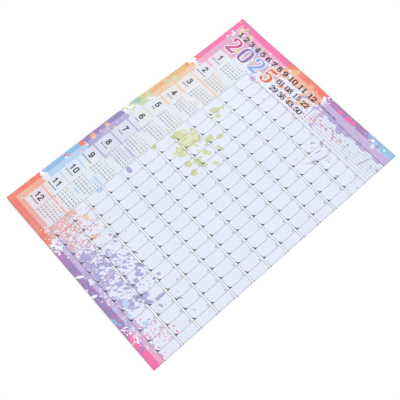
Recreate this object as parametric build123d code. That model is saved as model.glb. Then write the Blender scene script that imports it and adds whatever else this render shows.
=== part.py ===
from build123d import *

import os

# A printed wall year planner: one sheet of coated paper, folded once in half with the print outside.
# It lies on its back. +X runs from the free edges to the half fold, +Y to the title edge, +Z out of
# the printed face that shows, and the origin is under the middle of the folded sheet.
# All sizes are in millimetres.

# The sheet as it was cut
sheet_width = 735.0
sheet_height = 520.0
paper = 0.2

# Clear space between the two leaves, inside the half fold and wherever the upper leaf lies down
leaf_gap = 0.5

folded_width = sheet_width / 2
fold_radius = (2 * paper + leaf_gap) / 2
fold_start = folded_width / 2 - fold_radius
lying = 2 * paper + leaf_gap

# The sheet was once folded into eighths. Two creases cross in the middle of the upper leaf and part
# it into four panels that spring up unevenly. Each line gives how high the printed face stands over
# the table, from the free edge to the half fold: free edge, mid panel, crease, mid panel, half fold.
title_edge_rise = [12.0, 8.0, 8.0, 2.2, lying]
upper_panel_rise = [6.5, 7.0, 10.5, 3.5, lying]
middle_crease_rise = [11.0, 9.0, 9.5, 2.5, lying]
lower_panel_rise = [7.0, 7.5, lying, 1.6, lying]
last_month_edge_rise = [3.5, 1.5, lying, 2.4, lying]

leaf_rises = [
    last_month_edge_rise,
    lower_panel_rise,
    middle_crease_rise,
    upper_panel_rise,
    title_edge_rise,
]

# How finely the curved panels are drawn: stations across and along each one
stations_across = 5
stations_along = 9


def ease(low, high, slope_low, slope_high, share):
    """Height part of the way between two marks, leaving each at its own slope."""
    along = share * share * (3 - 2 * share)
    leave = share * (1 - share) * (1 - share)
    arrive = share * share * (share - 1)
    return low + (high - low) * along + slope_low * leave + slope_high * arrive


def panel_height(start, middle, end, share):
    """Height across one panel, bowed through its middle without dipping past its marks."""
    first = middle - start
    second = end - middle
    slope_middle = 2 * first * second / (first + second) if first * second > 0 else 0.0
    if share <= 0.5:
        slope_start = (3 * first - slope_middle) / 2
        return ease(start, middle, slope_start, slope_middle, 2 * share)
    slope_end = (3 * second - slope_middle) / 2
    return ease(middle, end, slope_middle, slope_end, 2 * share - 1)


def leaf_height(column, share_across, row, share_along):
    """Height of the printed face in the panel that starts at this column and row of the marks."""
    lines = [
        panel_height(*rises[column : column + 3], share_across)
        for rises in leaf_rises[row : row + 3]
    ]
    return panel_height(*lines, share_along)


def panel_curve(column, row, share_along, y, drop):
    """One line across a panel, from its left side to its right, lowered by drop."""
    left, right = (-folded_width / 2, 0.0) if column == 0 else (0.0, fold_start)
    points = []
    for station in range(stations_across):
        share = station / (stations_across - 1)
        height = leaf_height(column, share, row, share_along)
        points.append((left + (right - left) * share, y, height - drop))
    return Spline(*points)


def leaf_section(row, share_along):
    """The upper leaf cut across at one height up the sheet, as a closed face."""
    y = sheet_height / 2 * (share_along if row else share_along - 1)
    free_panel = panel_curve(0, row, share_along, y, 0)
    fold_panel = panel_curve(2, row, share_along, y, 0)
    free_panel_under = panel_curve(0, row, share_along, y, paper)
    fold_panel_under = panel_curve(2, row, share_along, y, paper)
    fold_side = Line(fold_panel @ 1, fold_panel_under @ 1)
    free_side = Line(free_panel_under @ 0, free_panel @ 0)
    outline = [free_panel, fold_panel, fold_side, fold_panel_under, free_panel_under, free_side]
    return Face(Wire(outline))


def leaf_half(row):
    """Two panels of the upper leaf, on one side of the middle crease."""
    shares = [station / (stations_along - 1) for station in range(stations_along)]
    return loft([leaf_section(row, share) for share in shares])


def upper_leaf():
    """The four creased panels of the leaf that shows, each crease a sharp change of slope."""
    return leaf_half(0) + leaf_half(2)


def lower_leaf_and_fold():
    """The leaf that lies flat on the table, with the round half fold along its +X side."""
    free = -folded_width / 2
    table_line = Line((free, 0), (fold_start, 0))
    fold_outside = RadiusArc(table_line @ 1, (fold_start, 2 * fold_radius), -fold_radius)
    fold_side = Line(fold_outside @ 1, (fold_start, 2 * fold_radius - paper))
    fold_inside = RadiusArc(fold_side @ 1, (fold_start, paper), fold_radius - paper)
    inner_line = Line(fold_inside @ 1, (free, paper))
    free_side = Line(inner_line @ 1, (free, 0))
    outline = Wire([table_line, fold_outside, fold_side, fold_inside, inner_line, free_side])
    profile = Plane.XZ * Face(outline)
    return extrude(profile, sheet_height / 2, both=True)


planner_sheet = lower_leaf_and_fold() + upper_leaf()

os.makedirs("parts", exist_ok=True)
export_step(planner_sheet, "parts/planner_sheet.step")
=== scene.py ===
import calendar
import math

import bmesh
import bpy
import numpy as np
from mathutils import Matrix, Vector
from mathutils.bvhtree import BVHTree


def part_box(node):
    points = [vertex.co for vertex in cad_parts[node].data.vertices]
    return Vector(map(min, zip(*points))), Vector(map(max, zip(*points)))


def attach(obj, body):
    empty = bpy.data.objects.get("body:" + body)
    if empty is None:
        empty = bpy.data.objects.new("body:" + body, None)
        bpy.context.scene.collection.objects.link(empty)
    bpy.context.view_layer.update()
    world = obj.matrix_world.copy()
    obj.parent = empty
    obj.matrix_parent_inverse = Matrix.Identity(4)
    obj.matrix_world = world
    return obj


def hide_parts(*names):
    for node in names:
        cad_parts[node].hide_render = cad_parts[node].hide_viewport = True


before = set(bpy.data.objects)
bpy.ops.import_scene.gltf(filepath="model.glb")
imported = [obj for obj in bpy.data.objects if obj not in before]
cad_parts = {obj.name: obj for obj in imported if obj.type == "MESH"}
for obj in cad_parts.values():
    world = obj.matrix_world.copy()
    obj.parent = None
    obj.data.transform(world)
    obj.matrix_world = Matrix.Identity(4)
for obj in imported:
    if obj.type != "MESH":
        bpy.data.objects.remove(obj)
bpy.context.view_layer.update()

# The camera
# It looks steeply down on the planner from beyond the corner where the month-twelve edge meets the fold.
camera_lens = bpy.data.cameras.new("camera")
camera_lens.lens = 60.77
camera_lens.sensor_width = 36
camera_lens.clip_start = 0.01
camera = bpy.data.objects.new("camera", camera_lens)
camera_right = Vector((0.66594, 0.74591, -0.01206))
camera_up = Vector((-0.67791, 0.61182, 0.40756))
camera_back = Vector((0.31139, -0.26323, 0.91310))
camera_turn = Matrix((camera_right, camera_up, camera_back)).transposed()
camera.matrix_world = Matrix.Translation((0.36402, -0.31601, 0.98823)) @ camera_turn.to_4x4()
bpy.context.scene.collection.objects.link(camera)
bpy.context.scene.camera = camera

# The table and the light
# A plain white table top, just bright enough to show as pure white, with only a thin soft shadow where the
# sheet meets it. An even white sky lights it, and one large lamp leans the light a little over the creases.
bpy.context.scene.view_settings.view_transform = "Standard"
sky_strength = 1.01
lamp_power = 5.5
lamp_wide = 1.2
lamp_place = (-1.3, 0.9, 1.5)
table_size = 6.0
table_drop = 2e-5
table_white = 0.72
table_glow = 0.25

sky = bpy.data.worlds.new("soft light")
sky.use_nodes = True
sky.node_tree.nodes["Background"].inputs["Color"].default_value = (1, 1, 1, 1)
sky.node_tree.nodes["Background"].inputs["Strength"].default_value = sky_strength
bpy.context.scene.world = sky

lamp_light = bpy.data.lights.new("lamp", "AREA")
lamp_light.energy = lamp_power
lamp_light.size = lamp_wide
lamp = bpy.data.objects.new("lamp", lamp_light)
lamp.location = lamp_place
lamp.rotation_euler = (-lamp.location).to_track_quat("-Z", "Y").to_euler()
bpy.context.scene.collection.objects.link(lamp)

table_mesh = bpy.data.meshes.new("table")
half = table_size / 2
table_corners = [(-half, -half), (half, -half), (half, half), (-half, half)]
table_mesh.from_pydata([(*corner, -table_drop) for corner in table_corners], [], [(0, 1, 2, 3)])
table_top = bpy.data.materials.new("white table")
table_top.use_nodes = True
table_shader = table_top.node_tree.nodes["Principled BSDF"]
table_shader.inputs["Base Color"].default_value = (table_white, table_white, table_white, 1)
table_shader.inputs["Roughness"].default_value = 0.8
table_shader.inputs["Emission Color"].default_value = (1, 1, 1, 1)
table_shader.inputs["Emission Strength"].default_value = table_glow
table_mesh.materials.append(table_top)
table = bpy.data.objects.new("table", table_mesh)
bpy.context.scene.collection.objects.link(table)

# The sheet of coated paper
# One sheet, cut square, folded once in half with the print outside and laid on its back. It was once
# folded smaller too, which left two creases across the leaf that shows, and the guillotine trimmed it a
# little off centre, inside the start of the printed layout. Its form comes from the frame.
MM = 0.001
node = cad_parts["planner_sheet"]
leaf_low, leaf_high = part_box("planner_sheet")
leaf_width = (leaf_high.x - leaf_low.x) / MM
page_height = (leaf_high.y - leaf_low.y) / MM
paper = 0.2
print_trim = 0.8
print_build = 0.12
crease_softness = 0.7
edge_inset = 0.05
mesh_pitch = 5.0
least_cut = 0.2
slope_step = 0.5
crease_steps = (-1.5, -0.7, 0, 0.7, 1.5)
fold_parts = 8

tree = BVHTree.FromPolygons(
    [vertex.co for vertex in node.data.vertices],
    [face.vertices for face in node.data.polygons],
)


def cad_height(x, y):
    """Height of the leaf that shows, in millimetres, at a place on the frame."""
    x = min(max(x, leaf_low.x / MM + edge_inset), leaf_high.x / MM - edge_inset)
    y = min(max(y, leaf_low.y / MM + edge_inset), leaf_high.y / MM - edge_inset)
    hit = tree.ray_cast(Vector((x * MM, y * MM, 1.0)), Vector((0, 0, -1)))
    return hit[0].z / MM


fold_height = cad_height(leaf_width / 2 - 1.0, 0)
fold_start = (leaf_width - fold_height) / 2
round_radius = (fold_height - print_build) / 2
leaf_length = leaf_width / 2 + fold_start
fold_length = math.pi * round_radius
page_width = 2 * leaf_length + fold_length

mark_columns = [-leaf_width / 2, -leaf_width / 4, 0, fold_start / 2, fold_start]
mark_rows = [-page_height / 2, -page_height / 4, 0, page_height / 4, page_height / 2]
marks = np.array([[cad_height(x, y) for x in mark_columns] for y in mark_rows])


def bow(start, middle, end, share):
    """The bowed line of a creased panel through three heights, without dipping past any of them."""
    first = middle - start
    second = end - middle
    agree = first * second > 0
    slope = np.where(agree, 2 * first * second / np.where(agree, first + second, 1), 0)
    early = share <= 0.5
    low = np.where(early, start, middle)
    high = np.where(early, middle, end)
    leave = np.where(early, (3 * first - slope) / 2, slope)
    arrive = np.where(early, slope, (3 * second - slope) / 2)
    t = np.where(early, 2 * share, 2 * share - 1)
    eased = low + (high - low) * t * t * (3 - 2 * t)
    return eased + leave * t * (1 - t) ** 2 + arrive * t * t * (t - 1)


def sharp_rise(x, y):
    """Height of the leaf that shows, with its creases sharp."""
    x = np.clip(x, -leaf_width / 2, fold_start)
    y = np.clip(y, -page_height / 2, page_height / 2)
    column = np.where(x < 0, 0, 2)
    row = np.where(y < 0, 0, 2)
    across = np.where(x < 0, (x + leaf_width / 2) / (leaf_width / 2), x / fold_start)
    along = np.where(y < 0, y + page_height / 2, y) / (page_height / 2)
    lines = [
        bow(marks[row + k, column], marks[row + k, column + 1], marks[row + k, column + 2], across)
        for k in range(3)
    ]
    return bow(*lines, along)


def rise(x, y):
    """Height of the leaf that shows, its creases eased by the stiffness of the paper."""
    soft = crease_softness
    sides = sharp_rise(x - soft, y) + sharp_rise(x + soft, y)
    ends = sharp_rise(x, y - soft) + sharp_rise(x, y + soft)
    inside = np.minimum(np.minimum(fold_start - x, x + leaf_width / 2), page_height / 2 - abs(y))
    return np.where(inside > soft, (sides + ends) / 4, sharp_rise(x, y))


def lay(across, up, lift):
    """Places on the folded sheet, in metres, of points of the flat layout, lifted off its printed side."""
    across = np.clip(np.asarray(across, float) - print_trim, 0, page_width)
    up = np.clip(np.asarray(up, float), 0, page_height)
    x = across - leaf_width / 2
    y = up - page_height / 2
    slope_x = (rise(x + slope_step, y) - rise(x - slope_step, y)) / (2 * slope_step)
    slope_y = (rise(x, y + slope_step) - rise(x, y - slope_step)) / (2 * slope_step)
    length = np.sqrt(1 + slope_x**2 + slope_y**2)
    top = [x - lift * slope_x / length, y - lift * slope_y / length, rise(x, y) + lift / length]
    turn = np.clip((across - leaf_length) / round_radius, 0, math.pi)
    reach = round_radius + lift
    bend = [fold_start + reach * np.sin(turn), y, fold_height - round_radius + reach * np.cos(turn)]
    under_x = fold_start - (across - leaf_length - fold_length)
    under = [under_x, y, print_build - lift + 0 * x]
    on_top = across <= leaf_length
    on_bend = across < leaf_length + fold_length
    place = [np.where(on_top, a, np.where(on_bend, b, c)) for a, b, c in zip(top, bend, under)]
    return np.stack(place, -1) * MM


def stops_between(low, high, pitch):
    """Evenly spaced places from low to high, no further apart than pitch."""
    return list(np.linspace(low, high, max(2, math.ceil((high - low) / pitch - 1e-6) + 1)))


page_start = print_trim
page_end = print_trim + page_width
cross_crease = [page_start + leaf_width / 2 + step for step in crease_steps]
level_crease = [page_height / 2 + step for step in crease_steps]
round_fold = [page_start + leaf_length + fold_length * k / fold_parts for k in range(fold_parts + 1)]


def page_cuts(low, high, stretches, bends, pitch):
    """Places where meshes are cut between two ends: evenly along flat stretches, and finely at the bends."""
    places = list(bends)
    for first, last in stretches:
        places += stops_between(first, last, pitch)
    return np.unique([low, high] + [p for p in places if low + least_cut < p < high - least_cut])


def page_columns(low, high, pitch):
    """Places across the page where its meshes are cut."""
    stretches = [(page_start, cross_crease[0]), (cross_crease[-1], round_fold[0]), (round_fold[-1], page_end)]
    return page_cuts(low, high, stretches, cross_crease + round_fold, pitch)


def page_rows(low, high, pitch):
    """Places up the page where its meshes are cut."""
    stretches = [(0, level_crease[0]), (level_crease[-1], page_height)]
    return page_cuts(low, high, stretches, level_crease, pitch)


def grid_quads(index):
    """The four corners of every cell of a grid of numbered places."""
    quads = np.stack([index[:-1, :-1], index[:-1, 1:], index[1:, 1:], index[1:, :-1]], -1)
    return quads.reshape(-1, 4).tolist()


def add_piece(name, places, faces, flat, materials, choice=None):
    """A piece of the planner that rides with the sheet, with a map of the flat page for its finish."""
    mesh = bpy.data.meshes.new(name)
    mesh.from_pydata(places.tolist(), [], faces)
    for material in materials:
        mesh.materials.append(material)
    if choice is not None:
        mesh.polygons.foreach_set("material_index", np.asarray(choice, np.int32))
    layer = mesh.uv_layers.new(name="OFBake")
    corners = np.zeros(len(mesh.loops), np.int32)
    mesh.loops.foreach_get("vertex_index", corners)
    layer.data.foreach_set("uv", flat[corners].astype(np.float32).ravel())
    mesh.shade_smooth()
    piece = bpy.data.objects.new(name, mesh)
    bpy.context.scene.collection.objects.link(piece)
    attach(piece, "root")
    return piece


cloud_scale = 45
fibre_scale = 900
# Painted shade along the fold edge and the top and bottom edges of the leaf: how far in it reaches, in
# millimetres, and how much it darkens.
rim_shade_width = 2.4
rim_shade_depth = 0.28


def shader_node(tree, kind, operation=None, given=None):
    """A new shader node, each of its inputs given a value or the output of another node."""
    made = tree.nodes.new(f"ShaderNode{kind}")
    if operation is not None:
        made.operation = operation
    for socket, value in (given or {}).items():
        if isinstance(value, bpy.types.NodeSocket):
            tree.links.new(value, made.inputs[socket])
        else:
            made.inputs[socket].default_value = value
    return made


def paper_tone_group():
    """Soft clouds, fine fibre and painted shade that darkens the rim by the fold and the top and bottom
    edges, as a tone round 1 and a height, under every ink.
    """
    group = bpy.data.node_groups.new("paper tone", "ShaderNodeTree")
    for name, amount in (("Clouds", 0.03), ("Fibre", 0.02)):
        made = group.interface.new_socket(name, in_out="INPUT", socket_type="NodeSocketFloat")
        made.default_value = amount
    for name in ("Tone", "Height"):
        group.interface.new_socket(name, in_out="OUTPUT", socket_type="NodeSocketFloat")
    amounts = group.nodes.new("NodeGroupInput").outputs
    result = group.nodes.new("NodeGroupOutput").inputs
    place = shader_node(group, "NewGeometry").outputs["Position"]
    total = 1.0
    for name, scale in (("Clouds", cloud_scale), ("Fibre", fibre_scale)):
        noise = shader_node(group, "TexNoise", None, {"Vector": place, "Scale": scale, "Detail": 3})
        grain = noise.outputs["Fac"]
        centred = shader_node(group, "Math", "SUBTRACT", {0: grain, 1: 0.5}).outputs[0]
        added = shader_node(group, "Math", "MULTIPLY_ADD", {0: centred, 1: amounts[name], 2: total})
        total = added.outputs[0]
    parts = shader_node(group, "SeparateXYZ", None, {0: place}).outputs
    # Painted shade: the tone darkens towards the fold edge and the top and bottom edges.
    for axis, half_size, sides in (("X", leaf_width / 2, "MAXIMUM"), ("Y", page_height / 2, "ABSOLUTE")):
        out = shader_node(group, "Math", sides, {0: parts[axis], 1: 0}).outputs[0]
        reach = {"From Min": (half_size - rim_shade_width) * MM, "From Max": half_size * MM}
        shade_ends = {"Value": out, "To Min": 1.0, "To Max": 1.0 - rim_shade_depth}
        rim_shaded = shader_node(group, "MapRange", None, {**reach, **shade_ends}).outputs["Result"]
        total = shader_node(group, "Math", "MULTIPLY", {0: total, 1: rim_shaded}).outputs[0]
    group.links.new(total, result["Tone"])
    group.links.new(grain, result["Height"])
    return group


paper_tone = paper_tone_group()
light_on_page = 1.09
drift_scale = 38
drift_low = 0.48
drift_high = 0.66
grain_strength = 0.15
grain_height = 0.00003


def tone(seen):
    """The surface colour that shows as these three 0 to 255 values under this light."""
    share = np.array(seen) / 255
    return np.where(share <= 0.04045, share / 12.92, ((share + 0.055) / 1.055) ** 2.4) / light_on_page


def printed_material(name, colour, clouds, roughness=0.42, second=None):
    """Ink or bare coating with the paper's own tone, painted shade along its rim and a soft sheen. A second
    colour makes it drift.
    """
    material = bpy.data.materials.new(name)
    material.use_nodes = True
    tree = material.node_tree
    shader = tree.nodes["Principled BSDF"].inputs
    effect = shader_node(tree, "Group")
    effect.node_tree = paper_tone
    effect.inputs["Clouds"].default_value = clouds
    effect.inputs["Fibre"].default_value = clouds / 2
    ink = tuple(tone(colour))
    if second is not None:
        place = shader_node(tree, "NewGeometry").outputs["Position"]
        drift_look = {"Vector": place, "Scale": drift_scale, "Detail": 2.5, "Distortion": 0.6}
        drift = shader_node(tree, "TexNoise", None, drift_look).outputs["Fac"]
        drift_ends = {"Value": drift, "From Min": drift_low, "From Max": drift_high}
        spread = shader_node(tree, "MapRange", None, drift_ends).outputs["Result"]
        wash = tree.nodes.new("ShaderNodeMix")
        wash.data_type = "RGBA"
        wash.inputs["A"].default_value = (*ink, 1)
        wash.inputs["B"].default_value = (*tone(second), 1)
        tree.links.new(spread, wash.inputs["Factor"])
        ink = wash.outputs["Result"]
    shown = effect.outputs["Tone"]
    tinted = shader_node(tree, "VectorMath", "SCALE", {0: ink, "Scale": shown})
    rough = shader_node(tree, "Math", "MULTIPLY", {0: shown, 1: roughness})
    grain = {"Height": effect.outputs["Height"], "Strength": grain_strength, "Distance": grain_height}
    tree.links.new(tinted.outputs[0], shader["Base Color"])
    tree.links.new(rough.outputs[0], shader["Roughness"])
    tree.links.new(shader_node(tree, "Bump", None, grain).outputs[0], shader["Normal"])
    return material


coated_paper = printed_material("coated paper", (250, 251, 252), clouds=0.02)

sheet_columns = page_columns(page_start, page_end, mesh_pitch)
sheet_rows = page_rows(0, page_height, mesh_pitch)
sheet_across, sheet_up = np.meshgrid(sheet_columns, sheet_rows)
printed_side = lay(sheet_across, sheet_up, 0.0).reshape(-1, 3)
inner_side = lay(sheet_across, sheet_up, -paper).reshape(-1, 3)
inner_start = sheet_across.size
sheet_index = np.arange(inner_start).reshape(sheet_across.shape)
sheet_faces = []
for quad in grid_quads(sheet_index):
    sheet_faces.append(quad)
    sheet_faces.append([inner_start + k for k in reversed(quad)])
rim_sides = [sheet_index[0], sheet_index[1:, -1], sheet_index[-1, -2::-1], sheet_index[-2:0:-1, 0]]
rim = np.concatenate(rim_sides).tolist()
for a, b in zip(rim, rim[1:] + rim[:1]):
    sheet_faces.append((b, a, inner_start + a, inner_start + b))
sheet_share = (sheet_across.ravel() - page_start) / page_width
sheet_flat = np.stack([sheet_share, sheet_up.ravel() / page_height / 2], -1)
sheet_piece = add_piece(
    "paper_sheet",
    np.vstack([printed_side, inner_side]),
    sheet_faces,
    np.vstack([sheet_flat, sheet_flat + (0, 0.5)]),
    [coated_paper],
)
cut_edge = set(rim) | {inner_start + k for k in rim}
sharp = sheet_piece.data.attributes.new("sharp_edge", "BOOLEAN", "EDGE")
sharp.data.foreach_set("value", [set(e.vertices) <= cut_edge for e in sheet_piece.data.edges])
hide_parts("planner_sheet")

# The pale tints
# Light flat inks, the first to be printed: grey-blue under the day cells, the title strip and the frame,
# greyer under the month panels, dull between those panels, and nearly white between the rows of days.
months = 12
days = 31
frame_out = 10.0
frame_out_ends = 12.0
frame_in = 21.2
frame_in_ends = 20.9
page_mark_width = 735.0
day_first = 89.82
day_wide = 20.154
day_lines = [day_first + day * day_wide for day in range(days + 1)]
day_last = day_lines[-1]
month_first = 20.9
month_pitch = 35.835
month_lows = [month_first + month * month_pitch for month in range(months)]
month_tall = 32.0
panel_low = -0.4
panel_high = 32.9
number_panel = (frame_in, 48.3)
calendar_panel = (49.5, 89.6)
title_low = 451.8
title_high = page_height - frame_in_ends
tint_lift = 0.03


def rectangles(boxes, pitch=mesh_pitch):
    """Flat places and faces of rectangles on the page, cut where the sheet bends."""
    flat = []
    faces = []
    for low_across, high_across, low_up, high_up in boxes:
        columns = page_columns(low_across, high_across, pitch)
        rows = page_rows(low_up, high_up, pitch)
        across, up = np.meshgrid(columns, rows)
        start = sum(len(part) for part in flat)
        faces += grid_quads(np.arange(across.size).reshape(across.shape) + start)
        flat.append(np.stack([across.ravel(), up.ravel()], -1))
    return np.vstack(flat), faces


def print_on_page(name, flat, faces, lift, materials, choice=None):
    """Prints flat shapes on the folded sheet as one piece."""
    places = lay(flat[:, 0], flat[:, 1], lift)
    return add_piece(name, places, faces, (flat - (page_start, 0)) / page_width, materials, choice)


right_frame = page_mark_width - frame_out
tint_boxes = [
    (frame_out, right_frame, frame_out_ends, frame_in_ends),
    (frame_out, right_frame, title_high, page_height - frame_out_ends),
    (frame_out, frame_in, frame_in_ends, title_high),
    (day_last, right_frame, frame_in_ends, title_high),
    (frame_in, day_last, title_low, title_high),
]
panel_boxes = []
gap_boxes = []
month_gap_boxes = []
for low in month_lows:
    under_another = low < month_lows[-1]
    next_low = low + month_pitch if under_another else title_low
    panel_boxes.append((*number_panel, low + panel_low, low + panel_high))
    panel_boxes.append((*calendar_panel, low + panel_low, low + panel_high))
    tint_boxes.append((day_first, day_last, low, low + month_tall))
    next_panel = next_low + panel_low if under_another else next_low
    month_gap_boxes.append((frame_in, calendar_panel[0], low + panel_high, next_panel))
    panel_boxes.append((calendar_panel[0], day_first, low + panel_high, next_panel))
    day_gaps = gap_boxes if under_another else tint_boxes
    day_gaps.append((day_first, day_last, low + month_tall, next_low))
    gap_boxes.append((number_panel[1], calendar_panel[0], low + panel_low, low + panel_high))
tints = [
    ("pale_tint", tint_boxes, (230, 235, 252), None),
    ("panel_tint", panel_boxes, (227, 233, 245), (227, 231, 237)),
    ("gap_tint", gap_boxes, (247, 250, 259), None),
    ("month_gap_tint", month_gap_boxes, (214, 219, 225), None),
]
for name, boxes, colour, second in tints:
    tint = printed_material(name.replace("_", " "), colour, clouds=0.015, second=second)
    print_on_page(name, *rectangles(boxes), tint_lift, [tint])

# The colour washes
# A plain paint-splash design in process inks, printed over the tints: full strength in a narrow outer
# band, and under a white veil inside it. Torn bands follow the edges, and drops spread into the cells.
wash_pitch = 0.9
hidden_pitch = 2.6
border_room = 0.3
least_share = 0.03
wash_lift = 0.06
bare = -9.0
cloud_cells = (61, 67)
panel_edge = 89.7
faint_share = 0.2
panel_tone = np.array([231, 235, 247])
wash_inks = {
    "hot_pink": [(247, 112, 174), (232, 120, 180), (236, 166, 204), (218, 172, 201)],
    "violet": [(146, 132, 188), (168, 148, 206), (174, 168, 213), (192, 180, 223)],
    "purple": [(178, 132, 188), (168, 130, 188), (202, 181, 223), (192, 175, 219)],
    "coral": [(243, 124, 104), (240, 140, 118), (241, 173, 153), (239, 187, 168)],
    "rose": [(236, 130, 118), (236, 150, 140), (231, 176, 174), (224, 183, 187)],
    "amber": [(234, 180, 124), (237, 192, 146), (235, 199, 166), (236, 210, 182)],
    "sky": [(140, 188, 230), (154, 200, 232), (180, 209, 242), (188, 215, 243)],
    "lime": [(200, 208, 142), (214, 216, 180), (208, 213, 166), (224, 226, 194)],
    "straw": [(214, 216, 180), (226, 222, 190), (224, 226, 190), (229, 229, 204)],
    "mint": [(146, 202, 178), (172, 210, 194), (184, 213, 200), (200, 220, 212)],
}


def with_borders(places, borders):
    """Cuts of the page with others moved out of the way of the borders between print tones."""
    room = border_room * wash_pitch
    kept = [place for place in places if min(abs(place - border) for border in borders) > room]
    return np.unique(kept + borders)


across_borders = [frame_out, frame_in, number_panel[1], calendar_panel[0], panel_edge]
across_borders += [day_last, right_frame]
up_borders = [frame_out_ends, title_low, title_high, page_height - frame_out_ends]
for low in month_lows:
    up_borders += [low + panel_low, low + panel_high]
fold_end = round_fold[-1]
shown_columns = page_columns(page_start, fold_end, wash_pitch)
wash_columns = np.unique(np.concatenate([shown_columns, page_columns(fold_end, page_end, hidden_pitch)]))
wash_columns = with_borders(wash_columns, across_borders)
wash_rows = with_borders(page_rows(0, page_height, wash_pitch), up_borders)
wash_across, wash_up = np.meshgrid(wash_columns, wash_rows)


def cloud(size, seed):
    """A smooth random field over the page, between about -1 and 1, with features of a size in mm."""
    heights = np.random.default_rng(seed).uniform(-1, 1, cloud_cells)
    wrap_u, wrap_v = cloud_cells
    u = wash_across / size
    v = wash_up / size
    i = np.floor(u).astype(int)
    j = np.floor(v).astype(int)
    s = (u - i) ** 2 * (3 - 2 * (u - i))
    t = (v - j) ** 2 * (3 - 2 * (v - j))
    i0, i1, j0, j1 = i % wrap_u, (i + 1) % wrap_u, j % wrap_v, (j + 1) % wrap_v
    near = heights[i0, j0] * (1 - s) + heights[i1, j0] * s
    far = heights[i0, j1] * (1 - s) + heights[i1, j1] * s
    return near * (1 - t) + far * t


def torn(size, seed):
    """A random field with large and small features, for torn and spattered edges."""
    return cloud(size, seed) + 0.5 * cloud(size / 2.2, seed + 1) + 0.3 * cloud(size / 5, seed + 2)


def band(low_across, high_across, low_up, high_up, rag, size, seed):
    """A band of ink with torn edges: millimetres inside its edge."""
    sides = np.minimum(wash_across - low_across, high_across - wash_across)
    ends = np.minimum(wash_up - low_up, high_up - wash_up)
    return np.minimum(sides, ends) + rag * torn(size, seed)


def pool(centre, stretch, depth, fall, rag, size, seed):
    """A pool of ink that thins out round a place and breaks up at its edge."""
    away = np.hypot((wash_across - centre[0]) / stretch[0], (wash_up - centre[1]) / stretch[1])
    return depth - fall * away + rag * torn(size, seed)


def drops(ovals):
    """Pools and drops of ink, each given by its centre, its long and short reach and its turn."""
    field = np.full(wash_across.shape, bare)
    for across, up, long, short, turn in ovals:
        reach = 1.6 * long + 2
        c0, c1 = np.searchsorted(wash_columns, [across - reach, across + reach])
        r0, r1 = np.searchsorted(wash_rows, [up - reach, up + reach])
        a = wash_across[r0:r1, c0:c1] - across
        u = wash_up[r0:r1, c0:c1] - up
        along = (a * math.cos(turn) + u * math.sin(turn)) / long
        beside = (u * math.cos(turn) - a * math.sin(turn)) / short
        inside = (1 - np.hypot(along, beside)) * short
        field[r0:r1, c0:c1] = np.maximum(field[r0:r1, c0:c1], inside)
    return field


def spatter(seed, count, centre, spread, small, large, stretch=0.5, aim=0.0):
    """Random drops round a place, mostly small, drawn out along one direction."""
    rng = np.random.default_rng(seed)
    made = []
    for _ in range(count):
        across, up = rng.normal(centre, spread)
        short = small + (large - small) * rng.random() ** 3
        long = short * (1 + stretch * rng.random())
        made.append((across, up, long, short, aim + 0.5 * rng.normal()))
    return drops(made)


def streak(start, end, thick, seed):
    """A flicked line of ink: drops in a row, thick in the middle and broken near its end."""
    rng = np.random.default_rng(seed)
    count = int(math.dist(start, end) / thick) + 2
    turn = math.atan2(end[1] - start[1], end[0] - start[0])
    wander = 0.3 * thick
    made = []
    for k in range(count):
        share = k / (count - 1)
        across = start[0] + (end[0] - start[0]) * share + wander * rng.normal()
        up = start[1] + (end[1] - start[1]) * share + wander * rng.normal()
        short = thick * (0.45 + 0.5 * math.sin(math.pi * share)) * rng.uniform(0.7, 1.1)
        made.append((across, up, 1.9 * short, short, turn))
    return drops(made)


def title_wash(low_across, high_across, low_up, rag, size, seed):
    """A wash along the title edge whose lower side alone is torn."""
    above = wash_up - (low_up + rag * torn(size, seed))
    return np.minimum(above, np.minimum(wash_across - low_across, high_across - wash_across))


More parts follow.
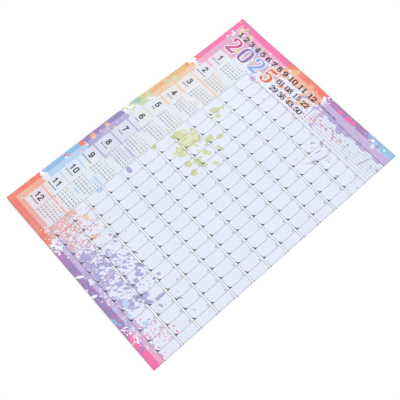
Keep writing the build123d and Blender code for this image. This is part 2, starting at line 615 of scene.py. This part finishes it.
# Each wash has an ink and the place where it lies, in millimetres across and up the page. Where two meet,
# the later one is on top, and one without an ink leaves the paper bare.
washes = [
    # colour under the month column, strong in the gaps between its panels
    ("amber", spatter(7, 26, (62, 382), (20, 22), 2.5, 11, 0.8)),
    ("lime", spatter(11, 24, (56, 272), (18, 22), 2.5, 10, 0.8)),
    ("violet", spatter(14, 16, (60, 196), (14, 22), 2.5, 9, 0.8)),
    ("sky", spatter(15, 16, (56, 116), (18, 14), 2.5, 8, 0.8)),
    # the lime splashes half way up the free edge, and those beside them in the day cells
    ("lime", spatter(3, 52, (7, 268), (9, 14), 1.5, 7.5, 0.4)),
    ("mint", spatter(4, 16, (9, 270), (8, 14), 1.0, 4.5, 0.4)),
    ("straw", band(108, 134, 268, 304, 3, 9, 5)),
    ("lime", spatter(8, 84, (132, 284), (24, 19), 0.9, 6.5, 1.0, 0.9)),
    ("lime", spatter(9, 12, (112, 352), (12, 16), 0.8, 5.0, 0.8, 0.9)),
    # the title strip
    ("hot_pink", band(-20, 50, 450, 540, 5, 15, 11)),
    ("hot_pink", band(-20, 128, 489, 540, 6, 18, 12)),
    ("coral", band(122, 220, 491, 540, 6, 18, 13)),
    ("amber", spatter(16, 36, (112, 476), (40, 11), 1.5, 8, 0.8, 0.4)),
    ("coral", spatter(66, 12, (150, 488), (34, 8), 1.5, 6, 0.6, 0.5)),
    ("hot_pink", spatter(56, 40, (74, 474), (22, 10), 1.5, 8.0, 0.8, 0.4)),
    ("purple", spatter(17, 64, (92, 474), (30, 11), 1.0, 6.5, 0.7, 0.5)),
    ("amber", spatter(18, 12, (170, 500), (28, 9), 2.0, 8, 0.6, 0.5)),
    ("lime", spatter(19, 12, (60, 486), (26, 14), 2.0, 6, 0.6, 0.5)),
    ("purple", title_wash(218, 420, 487.5, 4.5, 16, 71)),
    ("violet", spatter(20, 12, (292, 489), (40, 2), 3.0, 7, 0.6, 1.5)),
    ("sky", spatter(21, 9, (312, 512), (34, 5), 2.0, 6, 0.8, 0.2)),
    ("hot_pink", spatter(22, 22, (258, 508), (26, 8), 0.9, 4.5, 0.6, 0.2)),
    ("sky", band(340, 380, 506, 540, 3, 9, 23)),
    ("amber", spatter(43, 12, (20, 504), (14, 8), 1.4, 5.0, 0.6)),
    ("purple", spatter(24, 44, (286, 474), (50, 10), 0.7, 3.0, 1.4, -1.0)),
    ("purple", streak((228, 488), (236, 454), 1.5, 25)),
    ("purple", streak((344, 486), (336, 458), 1.2, 26)),
    ("purple", streak((296, 440), (281, 398), 1.2, 27)),
    ("hot_pink", spatter(28, 60, (244, 466), (34, 11), 0.6, 2.2)),
    ("sky", spatter(29, 40, (326, 466), (26, 11), 0.6, 2.0)),
    ("coral", spatter(30, 90, (176, 462), (34, 14), 0.6, 1.8, 1.8, 0.8)),
    ("violet", spatter(31, 40, (292, 424), (36, 16), 0.6, 1.7, 1.8, 0.8)),
    # the rest of the free edge
    ("hot_pink", band(-20, 38, 402, 470, 5, 13, 32)),
    ("amber", band(-20, 46, 300, 392, 6, 14, 33)),
    ("coral", spatter(34, 60, (8, 340), (8, 26), 0.5, 1.5, 0.8)),
    ("sky", band(-20, 40, 72, 158, 5, 12, 35)),
    ("violet", band(-20, 52, 155, 240, 5, 14, 36)),
    ("amber", spatter(37, 22, (8, 292), (8, 16), 0.8, 3.6)),
    ("amber", spatter(40, 5, (14, 196), (5, 22), 2, 6)),
    ("coral", spatter(38, 26, (8, 398), (9, 8), 0.9, 3.6)),
    ("coral", spatter(39, 8, (9, 118), (5, 16), 1.5, 5)),
    ("lime", spatter(44, 6, (7, 346), (5, 16), 1.6, 5.5, 0.6, 0.4)),
    # the lower edge and the day cells over it
    ("coral", band(-20, 96, -20, 64, 4, 16, 41)),
    ("rose", band(60, 122, -20, 22, 5, 8, 53)),
    ("rose", pool((92, 12), (1.2, 0.95), 15, 0.36, 11, 3.6, 51)),
    ("rose", spatter(55, 520, (124, 46), (26, 20), 0.5, 1.5, 0.8, 1.0)),
    ("violet", pool((214, 20), (1.3, 1), 17, 0.50, 12, 8, 42)),
    ("violet", spatter(45, 330, (236, 56), (36, 24), 0.6, 3.2, 1.8, 0.9)),
    ("violet", spatter(46, 300, (180, 38), (30, 15), 0.55, 1.4, 1.6, 0.9)),
    ("purple", band(118, 312, -20, 23, 6, 12, 47)),
    ("violet", spatter(48, 60, (220, 6), (50, 5), 1.0, 5, 1.5, 0.1)),
    ("hot_pink", band(306, 470, -20, 21, 4, 12, 49)),
    ("hot_pink", spatter(50, 150, (330, 36), (20, 14), 0.5, 1.6, 1.2, 0.6)),
    ("purple", spatter(52, 40, (326, 12), (20, 6), 0.8, 3.2, 1.2, 0.2)),
    ("sky", spatter(68, 7, (262, 24), (24, 12), 2.0, 6, 0.6)),
    ("purple", spatter(69, 10, (206, 44), (32, 14), 2.0, 5, 0.5)),
    ("amber", spatter(70, 2, (150, 70), (24, 8), 4.5, 7, 0.2)),
    # white drops over the edges
    (None, spatter(57, 90, (122, 10), (8, 7), 0.6, 2.0)),
    (None, spatter(58, 110, (306, 11), (12, 7), 0.5, 1.8)),
    (None, spatter(59, 260, (222, 46), (30, 22), 0.6, 2.3, 2.2, 0.9)),
    (None, spatter(60, 240, (112, 38), (22, 20), 0.5, 1.5, 1.0, 0.8)),
    (None, spatter(61, 26, (12, 68), (9, 4), 0.8, 2.6)),
    (None, spatter(62, 22, (9, 244), (8, 5), 0.8, 2.4)),
    (None, spatter(63, 34, (10, 396), (9, 5), 0.8, 2.4)),
    (None, spatter(64, 16, (8, 486), (7, 8), 0.7, 2.2)),
    (None, spatter(65, 24, (220, 510), (5, 7), 0.8, 2.6)),
    (None, spatter(72, 10, (336, 508), (9, 6), 0.8, 3.2)),
    (None, spatter(77, 110, (120, 494), (54, 7), 0.7, 2.6, 0.8, 0.4)),
    (None, spatter(73, 60, (15, 220), (4, 110), 0.5, 1.6, 0.8)),
    (None, spatter(74, 40, (240, 16), (50, 3), 0.5, 1.6)),
    # the leaf underneath
    ("amber", band(462, 560, -20, 22, 4, 14, 83)),
    ("sky", band(552, 660, -20, 22, 4, 14, 85)),
    ("purple", band(648, 760, -20, 24, 4, 14, 87)),
    ("purple", band(714, 760, -20, 180, 4, 14, 89)),
    ("sky", band(714, 760, 170, 300, 4, 14, 91)),
    ("mint", band(714, 760, 292, 410, 4, 14, 93)),
    ("amber", band(714, 760, 400, 540, 4, 14, 95)),
    ("amber", band(412, 500, 496, 540, 4, 14, 97)),
    ("lime", band(490, 610, 498, 540, 4, 14, 99)),
    ("coral", band(600, 724, 498, 540, 4, 14, 101)),
]

ink_fields = {ink: np.full(wash_across.shape, bare) for ink in wash_inks}
covered = np.full(wash_across.shape, bare)
for ink, field in reversed(washes):
    if ink is not None:
        ink_fields[ink] = np.maximum(ink_fields[ink], np.minimum(field, -covered))
    covered = np.maximum(covered, field)

# The veil over each wash: none in the outer band, thick over the month panels, middling elsewhere.
middle_across = (wash_columns[:-1] + wash_columns[1:])[None, :] / 2
middle_up = (wash_rows[:-1] + wash_rows[1:])[:, None] / 2
outer_band = (middle_across < frame_out) | (middle_across > right_frame)
outer_band = outer_band | (middle_up < frame_out_ends) | (middle_up > page_height - frame_out_ends)
panel_columns = (middle_across > frame_in) & (middle_across < panel_edge)
month_place = (middle_up - month_first - panel_low) % month_pitch
panel_rows = (month_place < panel_high - panel_low) & (middle_up < title_low)
panel_rows &= middle_up > month_first + panel_low
in_panel = panel_columns & panel_rows
veil_choice = np.where(outer_band, 0, np.where(in_panel, 2, 1))


def contoured(field, columns, rows):
    """Flat places and faces of the area where a field is above nought, and the grid cell of each face."""
    tall, wide = field.shape
    grid = np.arange(tall * wide).reshape(tall, wide)
    level = tall * wide + np.arange(tall * (wide - 1)).reshape(tall, wide - 1)
    upright = level[-1, -1] + 1 + np.arange((tall - 1) * wide).reshape(tall - 1, wide)
    across, up = np.meshgrid(columns, rows)
    spots = np.stack([across, up], -1)

    def crossing(first, second, from_spot, to_spot):
        share = first / np.where(first == second, 1, first - second)
        share = np.clip(share, least_share, 1 - least_share)[..., None]
        return from_spot + (to_spot - from_spot) * share

    level_spots = crossing(field[:, :-1], field[:, 1:], spots[:, :-1], spots[:, 1:])
    upright_spots = crossing(field[:-1], field[1:], spots[:-1], spots[1:])
    every_spot = np.vstack([s.reshape(-1, 2) for s in (spots, level_spots, upright_spots)])
    inside = field > 0
    corners = [inside[:-1, :-1], inside[:-1, 1:], inside[1:, 1:], inside[1:, :-1]]
    case = sum(corner * (1 << k) for k, corner in enumerate(corners))
    around = [grid[:-1, :-1], level[:-1], grid[:-1, 1:], upright[:, 1:]]
    around += [grid[1:, 1:], level[1:], grid[1:, :-1], upright[:, :-1]]
    faces = []
    cells = []
    for kind in range(1, 16):
        held = [bool(kind >> k & 1) for k in range(4)]
        outline = []
        for k in range(4):
            if held[k]:
                outline.append(around[2 * k])
            if held[k] != held[(k + 1) % 4]:
                outline.append(around[2 * k + 1])
        chosen = case == kind
        if chosen.any():
            faces += np.stack([part[chosen] for part in outline], -1).tolist()
            cells.append(np.flatnonzero(chosen.ravel()))
    cells = np.concatenate(cells)
    used, flat_index = np.unique(np.concatenate([np.array(f) for f in faces]), return_inverse=True)
    sizes = np.cumsum([len(face) for face in faces])[:-1]
    faces = [part.tolist() for part in np.split(flat_index, sizes)]
    return every_spot[used], faces, cells


for ink, (full, full_drift, veiled, veiled_drift) in wash_inks.items():
    faint = faint_share * np.array(veiled) + (1 - faint_share) * panel_tone
    faint_drift = faint_share * np.array(veiled_drift) + (1 - faint_share) * panel_tone
    finishes = [
        printed_material(f"{ink} full", full, clouds=0.05, second=full_drift),
        printed_material(f"{ink} veiled", veiled, clouds=0.04, second=veiled_drift),
        printed_material(f"{ink} faint", faint, clouds=0.02, second=faint_drift),
    ]
    flat, faces, cells = contoured(ink_fields[ink], wash_columns, wash_rows)
    print_on_page(f"wash_{ink}", flat, faces, wash_lift, finishes, veil_choice.ravel()[cells])

# The ruled lines
# Thin dark grey-green lines round every day, twelve rows of thirty-one, printed over the washes. Fainter
# lines cross the gaps between the months, split the month panels and make writing lines by the title.
level_thick = 0.5
upright_thick = 0.38
faint_rule_thick = 0.16
note_thick = 0.42
heading_thick = 0.7
divider = 50.2
divider_thick = 0.3
rule_low = -0.35
rule_high = 32.2
rule_lift = 0.09
note_lines = 7
note_first = 454.0
note_pitch = 5.417
note_start = 222.0
heading_rule_up = 492.3
heading_rule_start = 259.0


def level_rule(left, right, up, thick):
    """A level line of ink, as its left, right, bottom and top."""
    return (left, right, up - thick / 2, up + thick / 2)


def upright_rule(across, low, high, thick):
    """An upright line of ink, as its left, right, bottom and top."""
    return (across - thick / 2, across + thick / 2, low, high)


rule_boxes = []
faint_boxes = []
for low in month_lows:
    high = low + rule_high
    next_rule = low + month_pitch + rule_low
    rule_boxes += [level_rule(day_first, day_last, up, level_thick) for up in (low + rule_low, high)]
    for across in day_lines:
        rule_boxes.append(upright_rule(across, low + rule_low, high, upright_thick))
        if low < month_lows[-1]:
            faint_boxes.append(upright_rule(across, high, next_rule, faint_rule_thick))
    faint_boxes.append(upright_rule(divider, low + panel_low, low + panel_high, divider_thick))
note_ups = [note_first + row * note_pitch for row in range(note_lines)]
faint_boxes += [level_rule(note_start, day_last, up, note_thick) for up in note_ups]
rule_boxes.append(level_rule(heading_rule_start, day_last, heading_rule_up, heading_thick))

rule_ink = printed_material("rule ink", (42, 48, 40), clouds=0.08, roughness=0.5)
faint_ink = printed_material("faint rule ink", (112, 118, 122), clouds=0.08, roughness=0.5)
print_on_page("day_rules", *rectangles(rule_boxes), rule_lift, [rule_ink])
print_on_page("faint_rules", *rectangles(faint_boxes), rule_lift, [faint_ink])

# The heading and the bullets beside the writing lines
# A row of short dashes stands where a printed heading would be, and a small dark square opens each line.
heading_left = 214.5
heading_low = 494.2
heading_letter = 2.1
heading_gap = 0.75
heading_letters = 15
heading_space = 11
heading_tall = 2.2
heading_capital = 3.2
capital_every = 4
bullet_across = 217.5
bullet_half = 1.0
mark_pitch = 3.0
heading_lift = 0.11

heading_boxes = []
for letter in range(heading_letters):
    if letter != heading_space:
        left = heading_left + letter * (heading_letter + heading_gap)
        top = heading_low + (heading_tall if letter % capital_every else heading_capital)
        heading_boxes.append((left, left + heading_letter, heading_low, top))
for up in note_ups:
    left = bullet_across - bullet_half
    heading_boxes.append((left, left + 2 * bullet_half, up - bullet_half, up + bullet_half))
heading_ink = printed_material("heading ink", (76, 66, 84), clouds=0.06, roughness=0.5)
print_on_page("heading_marks", *rectangles(heading_boxes, mark_pitch), heading_lift, [heading_ink])

# The turned corners
# In the lower right corner of each day a small printed page corner turns up: a dark wedge split by a
# light fold, with a pale curl along its slope.
corner_dark = [
    [(-5.5, 0.1), (-1.9, 0.1), (-2.3, 0.95), (-3.1, 1.8)],
    [(-1.45, 0.1), (-0.12, 0.1), (-0.12, 4.9), (-1.1, 3.7), (-2.4, 2.45), (-1.8, 1.3)],
]
corner_pale = [
    [(-5.1, 0.35), (-2.95, 1.85), (-3.25, 2.5), (-4.2, 1.6)],
    [(-2.7, 2.1), (-1.5, 3.3), (-0.5, 4.4), (-1.6, 3.9), (-2.9, 2.75)],
]
corner_lift = 0.11


def bent_shapes(shapes):
    """Joins flat shapes into one, cutting those that lie across a crease or the fold along it."""
    places = []
    faces = []
    start = 0
    for flat, shape_faces in shapes:
        low = flat.min(0)
        high = flat.max(0)
        cuts = [(p, 0) for p in cross_crease + round_fold if low[0] < p < high[0]]
        cuts += [(p, 1) for p in level_crease if low[1] < p < high[1]]
        if cuts:
            work = bmesh.new()
            corners = [work.verts.new((a, u, 0)) for a, u in flat]
            for face in shape_faces:
                work.faces.new([corners[k] for k in face])
            for place, axis in cuts:
                spot = (place, 0, 0) if axis == 0 else (0, place, 0)
                normal = (1, 0, 0) if axis == 0 else (0, 1, 0)
                everything = work.verts[:] + work.edges[:] + work.faces[:]
                bmesh.ops.bisect_plane(work, geom=everything, plane_co=spot, plane_no=normal)
            work.verts.index_update()
            flat = np.array([vertex.co[:2] for vertex in work.verts])
            shape_faces = [[vertex.index for vertex in face.verts] for face in work.faces]
            work.free()
        places.append(flat)
        faces += [[start + k for k in face] for face in shape_faces]
        start += len(flat)
    return np.vstack(places), faces


def at_every_day(outlines):
    """Copies of flat outlines, given from each day's lower right corner."""
    shapes = []
    for low in month_lows:
        for across in day_lines[1:]:
            for outline in outlines:
                shapes.append((np.array(outline) + (across, low), [list(range(len(outline)))]))
    return bent_shapes(shapes)


corner_ink = printed_material("corner ink", (24, 27, 27), clouds=0.1, roughness=0.5)
curl_ink = printed_material("curl ink", (249, 250, 252), clouds=0.02)
print_on_page("corner_marks", *at_every_day(corner_dark), corner_lift, [corner_ink])
print_on_page("corner_curls", *at_every_day(corner_pale), corner_lift, [curl_ink])

# The day numbers and the small dates
# Plain small figures in grey: the day of the month at the top of each day, and a small month calendar in
# each panel, with its weeks starting on a Sunday.
figure_lift = 0.12
day_figure_tall = 3.0
day_figure_inset = 1.7
day_figure_drop = 0.9
day_figure_weight = 0.02
date_tall = 2.1
date_weight = 0.055
date_stretch = 1.15
date_across = 52.95
date_wide = 5.5
date_down = 5.75
date_top = 28.1
date_down_long = 5.6
date_top_long = 30.4
calendar_year = 2025


def figure(text, tall, heavier, rounding=2):
    """A plain printed number as flat places and faces, its lower left corner at nought."""
    curve = bpy.data.curves.new("figure", "FONT")
    curve.body = text
    curve.offset = heavier
    curve.resolution_u = rounding
    made = bpy.data.objects.new("figure", curve)
    bpy.context.scene.collection.objects.link(made)
    mesh = bpy.data.meshes.new_from_object(made)
    flat = np.array([vertex.co[:2] for vertex in mesh.vertices])
    faces = [list(face.vertices) for face in mesh.polygons]
    bpy.data.objects.remove(made)
    bpy.data.curves.remove(curve)
    bpy.data.meshes.remove(mesh)
    flat -= flat.min(0)
    return flat * (tall / flat[:, 1].max()), faces


day_figures = [figure(str(day), day_figure_tall, day_figure_weight) for day in range(1, days + 1)]
date_figures = [figure(str(day), date_tall, date_weight, 1) for day in range(1, days + 1)]
day_shapes = []
date_shapes = []
sunday_first = calendar.Calendar(firstweekday=6)
for month, low in zip(range(months, 0, -1), month_lows):
    figure_low = low + month_tall - day_figure_drop - day_figure_tall
    for across, (flat, faces) in zip(day_lines[1:], day_figures):
        left = across - day_figure_inset - flat[:, 0].max()
        day_shapes.append((flat + (left, figure_low), faces))
    weeks = sunday_first.monthdayscalendar(calendar_year, month)
    long_month = len(weeks) > 5
    down = date_down_long if long_month else date_down
    first = date_top_long if long_month else date_top
    for line, week in enumerate(weeks):
        for column, day in enumerate(week):
            if day:
                flat, faces = date_figures[day - 1]
                middle = (date_across + column * date_wide, low + first - line * down)
                date_shapes.append(((flat - flat.max(0) / 2) * (date_stretch, 1) + middle, faces))
day_ink = printed_material("day number ink", (118, 121, 126), clouds=0.06, roughness=0.5)
date_ink = printed_material("date ink", (78, 76, 84), clouds=0.06, roughness=0.5)
print_on_page("day_numbers", *bent_shapes(day_shapes), figure_lift, [day_ink])
print_on_page("small_dates", *bent_shapes(date_shapes), figure_lift, [date_ink])

# The month numbers
# A large plain figure in each number panel, dark grey, over a short row of grey dashes that stands where
# a printed name would be. Each figure is a list of pen strokes, in hundredths of its height.
month_figure_tall = 11.2
month_figure_low = 14.7
month_figure_across = 34.6
month_figure_advance = 0.8
month_figure_wide = 0.7
month_stroke = 0.097
month_grain = 0.16
figure_margin = 0.12
figure_end = 0.25
caption_low = 9.2
caption_heights = [2.125, 1.7, 1.36, 1.36, 1.7, 1.36, 1.36, 1.7, 1.36]
caption_letter = 2.05
caption_gap = 0.6
caption_letters = [7, 8, 5, 5, 3, 4, 4, 6, 9, 7, 8, 8]
plain_strokes = {
    "0": [[(35, 93), (53, 84), (59, 50), (53, 16), (35, 7), (17, 16), (11, 50), (17, 84), (35, 93)]],
    "1": [[(40, 93), (40, 7)], [(40, 93), (31, 80), (17, 72)]],
    "2": [
        [(12, 70), (18, 87), (35, 93), (53, 85), (56, 68), (46, 48), (27, 29), (11, 8)],
        [(11, 7.5), (59, 7.5)],
    ],
    "3": [
        [(12, 74), (20, 89), (36, 93), (53, 83), (51, 62), (31, 54)],
        [(31, 54), (52, 48), (59, 30), (52, 13), (34, 7), (17, 13), (10, 27)],
    ],
    "4": [[(46, 93), (8, 33)], [(8, 31), (63, 31)], [(47, 93), (47, 7)]],
    "5": [
        [(54, 92.5), (20, 92.5)],
        [(20, 92), (14, 50)],
        [(14, 50), (32, 58), (52, 51), (59, 33), (53, 15), (35, 7), (17, 12), (10, 26)],
    ],
    "6": [
        [(56, 76), (50, 89), (36, 93), (18, 83), (11, 55), (13, 25), (22, 10), (36, 7), (53, 15), (59, 32),
         (53, 49), (37, 57), (20, 50), (12, 36)],
    ],
    "7": [[(10, 92.5), (59, 92.5)], [(59, 92), (42, 64), (31, 36), (26, 7)]],
    "8": [
        [(35, 93), (51, 87), (53, 70), (35, 54), (14, 42), (12, 19), (35, 7), (58, 19), (56, 42), (35, 54),
         (17, 70), (19, 87), (35, 93)],
    ],
    "9": [
        [(14, 24), (20, 11), (34, 7), (52, 17), (59, 45), (57, 75), (48, 90), (34, 93), (17, 85), (11, 68),
         (17, 51), (33, 43), (50, 50), (58, 64)],
    ],
}


def smooth_line(points, steps=12):
    """Places along a smooth line through points, and the way it goes at each."""
    points = np.array(points, float)
    ends = np.vstack([2 * points[0] - points[1], points, 2 * points[-1] - points[-2]])
    if len(points) > 2 and np.allclose(points[0], points[-1]):
        ends[0] = points[-2]
        ends[-1] = points[1]
    spots = []
    ways = []
    for a, b, c, d in zip(ends, ends[1:], ends[2:], ends[3:]):
        for t in np.linspace(0, 1, steps + 1):
            spots.append(b + t / 2 * (c - a + t * (2 * a - 5 * b + 4 * c - d + t * (3 * (b - c) + d - a))))
            ways.append(c - a + t * (4 * a - 10 * b + 8 * c - 2 * d + 3 * t * (3 * (b - c) + d - a)))
    return spots, ways


def inside_strokes(across, up, strokes, reach_at):
    """How far places lie inside pen strokes whose half thickness depends on the way they go."""
    field = np.full(across.shape, bare)
    for kind, points in strokes:
        for spot, way in zip(*smooth_line(points)):
            upright = abs(way[1]) / max(math.hypot(*way), 1e-9)
            field = np.maximum(field, reach_at(kind, upright) - np.hypot(across - spot[0], up - spot[1]))
    return field


def drawn_figures(text, low_left, tall, advance, grain, strokes_of, reach_at, stretch=1.0):
    """A row of figures drawn with pen strokes, as flat places and faces."""
    columns = np.arange(-figure_margin, advance * len(text) + figure_end, grain / tall)
    rows = np.arange(-figure_margin, 1 + figure_margin, grain / tall)
    across, up = np.meshgrid(columns, rows)
    field = np.full(across.shape, bare)
    for place, mark in enumerate(text):
        strokes = [
            (kind, np.array(points) / 100 * (stretch, 1) + (place * advance, 0))
            for kind, points in strokes_of(mark)
        ]
        field = np.maximum(field, inside_strokes(across, up, strokes, reach_at))
    flat, faces, _ = contoured(field, columns, rows)
    return flat * tall + low_left, faces


def plain_strokes_of(mark):
    """The strokes of a plain figure, all of one thickness."""
    return [("even", points) for points in plain_strokes[mark]]


month_shapes = []
caption_boxes = []
for month, low in zip(range(months, 0, -1), month_lows):
    text = str(month)
    wide_figures = (len(text) - 1) * month_figure_advance + month_figure_wide
    low_left = (month_figure_across - wide_figures * month_figure_tall / 2, low + month_figure_low)
    month_shapes.append(
        drawn_figures(
            text, low_left, month_figure_tall, month_figure_advance, month_grain,
            plain_strokes_of, lambda kind, upright: month_stroke,
        )
    )
    letters = caption_letters[month - 1]
    step = caption_letter + caption_gap
    start = month_figure_across - (letters * step - caption_gap) / 2
    for letter in range(letters):
        across = start + letter * step
        top = low + caption_low + caption_heights[letter]
        caption_boxes.append((across, across + caption_letter, low + caption_low, top))
month_ink = printed_material("month number ink", (44, 46, 52), clouds=0.08, roughness=0.45)
caption_ink = printed_material("caption ink", (84, 84, 94), clouds=0.06, roughness=0.5)
print_on_page("month_numbers", *bent_shapes(month_shapes), figure_lift, [month_ink])
print_on_page("month_captions", *rectangles(caption_boxes, mark_pitch), figure_lift, [caption_ink])

# The year and the title figures
# Heavy book figures with thick and thin strokes. The year stands in four colours with a white edge round
# it, and the three dark title lines hold plain month and week numbers. They are printed like the rest.
book_strokes = {
    "0": [
        ("swell", [(31, 97), (50, 86), (54.5, 50), (50, 14), (31, 3), (12, 14), (7.5, 50), (12, 86),
                   (31, 97)]),
    ],
    "1": [
        ("swell", [(33, 96), (33, 4)]),
        ("fine", [(33, 95), (24, 88), (13, 86)]),
        ("fine", [(13, 3), (53, 3)]),
    ],
    "2": [
        ("ball", [(13, 76), (13.5, 77)]),
        ("swell", [(8, 80), (15, 93), (31, 97), (47, 88), (50, 70), (42, 50), (27, 30), (9, 7)]),
        ("heavy", [(12, 7.5), (30, 7.5), (48, 7.5)]),
        ("fine", [(50, 6), (55.5, 12), (57.5, 25)]),
    ],
    "3": [
        ("ball", [(12, 78), (12.5, 79)]),
        ("swell", [(9, 84), (18, 95), (31, 97), (46, 86), (45, 66), (26, 54)]),
        ("swell", [(26, 54), (45, 49), (53, 30), (47, 10), (29, 3), (11, 10)]),
        ("ball", [(12, 17), (12.5, 17)]),
    ],
    "4": [
        ("fine", [(42, 96), (23, 63), (5, 29)]),
        ("fine", [(5, 28), (59, 28)]),
        ("swell", [(43, 95), (43, 4)]),
        ("fine", [(27, 3), (57, 3)]),
    ],
    "5": [
        ("heavy", [(18, 91), (34, 91), (50, 93)]),
        ("fine", [(15, 93), (12, 52)]),
        ("swell", [(12, 53), (30, 62), (48, 53), (53, 33), (46, 12), (28, 3), (10, 9)]),
        ("ball", [(12, 17), (12.5, 17)]),
    ],
    "6": [
        ("ball", [(47, 84), (47.5, 84)]),
        ("swell", [(50, 90), (36, 97), (18, 84), (9, 55), (10, 25), (19, 7), (32, 3)]),
        ("swell", [(32, 3), (48, 10), (53.5, 30), (47, 51), (32, 58), (13, 43)]),
    ],
    "7": [
        ("heavy", [(12, 91), (30, 91), (50, 91)]),
        ("fine", [(7, 94), (6, 74)]),
        ("swell", [(56, 93), (44, 66), (32, 40), (27, 4)]),
    ],
    "8": [
        ("swell", [(31, 97), (46, 89), (46, 70), (31, 55), (13, 42), (8, 24), (16, 7), (31, 3)]),
        ("swell", [(31, 97), (16, 89), (15, 72), (31, 56), (50, 40), (54, 22), (46, 7), (31, 3)]),
    ],
    "9": [
        ("ball", [(15, 16), (15.5, 16)]),
        ("swell", [(12, 10), (26, 3), (44, 16), (53, 45), (52, 75), (43, 93), (30, 97)]),
        ("swell", [(30, 97), (14, 90), (8.5, 70), (15, 49), (30, 42), (49, 57)]),
    ],
}
# The half thickness of each kind of stroke, where it goes level and where it goes upright.
stroke_reach = {
    "fine": (0.026, 0.026),
    "swell": (0.03, 0.088),
    "heavy": (0.075, 0.075),
    "ball": (0.075, 0.075),
}
swell_power = 1.6
book_advance = 0.8
book_wide = 0.64


def book_figures(text, low_left, tall, stretch, grain, swell):
    """Thick and thin book figures as flat places and faces, their strokes grown by swell millimetres."""

    def reach_at(kind, upright):
        fine, thick = stroke_reach[kind]
        return fine + (thick - fine) * upright**swell_power + swell / tall

    return drawn_figures(text, low_left, tall, book_advance, grain, book_strokes.get, reach_at, stretch)


year_tall = 30.5
year_low = 455.5
year_lefts = [21.2, 49.8, 78.8, 107.0]
year_tones = [(206, 84, 150), (148, 112, 182), (134, 172, 232), (224, 112, 78)]
year_stretch = 1.16
year_swell = 0.5
year_grain = 0.35
year_edge = 2.0
year_edge_lift = 0.085
edge_ink = printed_material("white edge ink", (252, 252, 253), clouds=0.015)
edges = []
for place, (mark, left) in enumerate(zip(str(calendar_year), year_lefts)):
    low_left = (left, year_low)
    shape = book_figures(mark, low_left, year_tall, year_stretch, year_grain, year_swell)
    year_ink = printed_material(f"year ink {place + 1}", year_tones[place], clouds=0.1, roughness=0.45)
    print_on_page(f"year_number_{place + 1}", *bent_shapes([shape]), figure_lift, [year_ink])
    edges.append(book_figures(mark, low_left, year_tall, year_stretch, year_grain, year_edge))
print_on_page("year_edges", *bent_shapes(edges), year_edge_lift, [edge_ink])

title_tall = 9.8
title_grain = 0.2
space_share = 0.55
title_lines = [
    ("1 2 3 4 5 6 7 8 9 10 11 12", 20.0, 490.4, 189.0, 0.5),
    ("01 08 15 22", 136.0, 471.3, 73.0, 0.28),
    ("29 36 43 50", 136.0, 453.8, 73.0, 0.28),
]
title_ink = printed_material("title ink", (36, 30, 40), clouds=0.08, roughness=0.45)
title_shapes = []
for text, left, low, long, title_swell in title_lines:
    spaces = text.count(" ")
    advance = long / (len(text) - spaces * (1 - space_share))
    stretch = advance / (book_wide * title_tall)
    for mark in text:
        if mark != " ":
            shape = book_figures(mark, (left, low), title_tall, stretch, title_grain, title_swell)
            title_shapes.append(shape)
        left += advance * (space_share if mark == " " else 1)
print_on_page("title_numbers", *bent_shapes(title_shapes), figure_lift, [title_ink])
